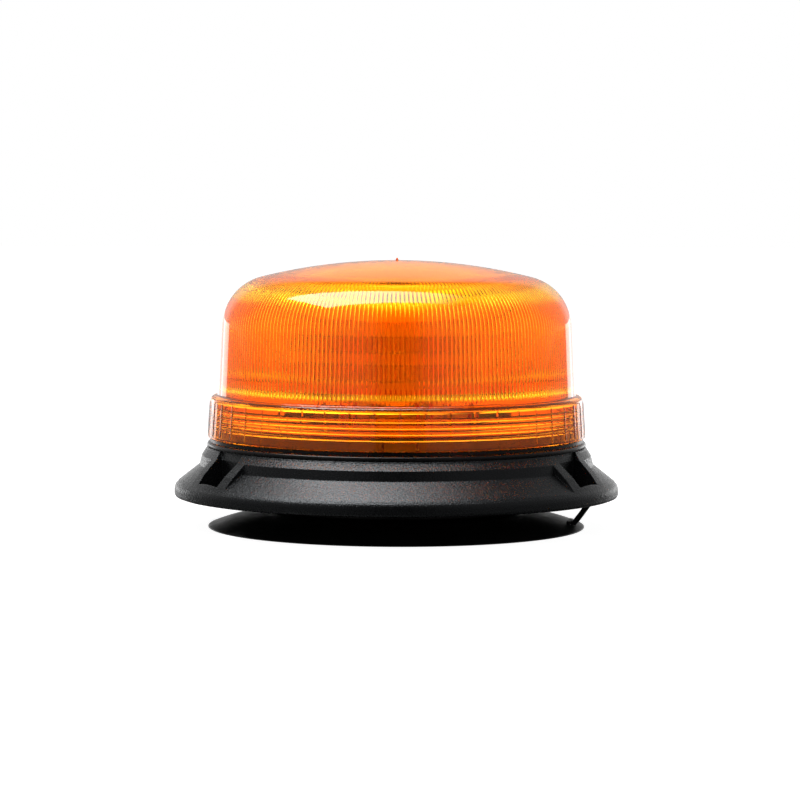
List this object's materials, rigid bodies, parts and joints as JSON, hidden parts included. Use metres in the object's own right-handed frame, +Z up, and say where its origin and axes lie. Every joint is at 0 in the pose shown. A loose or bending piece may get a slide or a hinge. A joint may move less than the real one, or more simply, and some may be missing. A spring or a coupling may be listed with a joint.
{
  "type": "led warning beacon",
  "caption": "Low amber LED warning beacon with a ribbed twist-off lens on a black three-ear base with a suction and magnet mount.",
  "frame": {"origin": "centre of the suction cup's lip plane, under the middle of the lens", "axes": "+Z up along the lens axis, -Y towards the front, +X to the right"},
  "size_m": [0.165, 0.165, 0.1004],
  "materials": {
    "amber_lens": "gloss transparent",
    "seal_rubber": "semi-gloss",
    "tray_plastic": "satin",
    "white_plastic": "satin",
    "aluminium": "satin",
    "led_board": "satin",
    "led_phosphor": "satin",
    "clear_plastic": "gloss transparent",
    "steel": "satin",
    "circuit_board": "satin",
    "capacitor_can": "satin",
    "ferrite": "matte",
    "chip_plastic": "matte",
    "terminal_plastic": "satin",
    "wire_sleeve": "satin",
    "base_plastic": "fine grained",
    "brass": "satin",
    "soft_rubber": "matte",
    "housing_plastic": "satin",
    "cup_rubber": "satin",
    "zinc_steel": "satin",
    "pad_rubber": "matte",
    "strap_rubber": "satin"
  },
  "bodies": {
    "base": {"lens_seal": "seal_rubber", "head_tray": "tray_plastic", "deck_seal": "seal_rubber", "reflector_plate": "white_plastic", "heat_sink": "aluminium", "led_boards": "led_board", "led_packages": "led_phosphor", "led_optics": "clear_plastic", "board_screws": "steel", "core_cap": "white_plastic", "core_cap_screw": "steel", "heat_sink_screws": "steel", "driver_board": "circuit_board", "driver_capacitors": "capacitor_can", "driver_inductors": "ferrite", "driver_chips": "chip_plastic", "terminal_block": "terminal_plastic", "driver_screws": "steel", "led_leads": "wire_sleeve", "breather_vent": "chip_plastic", "mount_base": "base_plastic", "head_screws": "steel", "boss_inserts": "brass", "cable_grommet": "soft_rubber", "magnet_housing": "housing_plastic", "housing_screws": "steel", "clamp_ring": "zinc_steel", "clamp_screws": "steel", "pot_shell": "zinc_steel", "ring_magnet": "ferrite", "magnet_pad": "pad_rubber", "centre_bolt": "steel", "bolt_washer": "steel", "lock_nut": "steel", "strap_screw": "steel"},
    "lens": {"lens_dome": "amber_lens"},
    "cup": {"suction_cup": "cup_rubber", "release_strap": "strap_rubber"}
  },
  "joints": [
    {"name": "lens_twist", "type": "hinge", "parent": "base", "child": "lens", "pos_m": [0, 0, 0.0336], "axis": [0, 0, 1], "range_deg": [0, 20]},
    {"name": "cup_press", "type": "slide", "parent": "base", "child": "cup", "axis": [0, 0, 1], "range_m": [0, 0.002], "stiffness_N_per_m": 1500, "springref_m": -0.0048, "deforming": ["suction_cup", "release_strap"]}
  ]
}
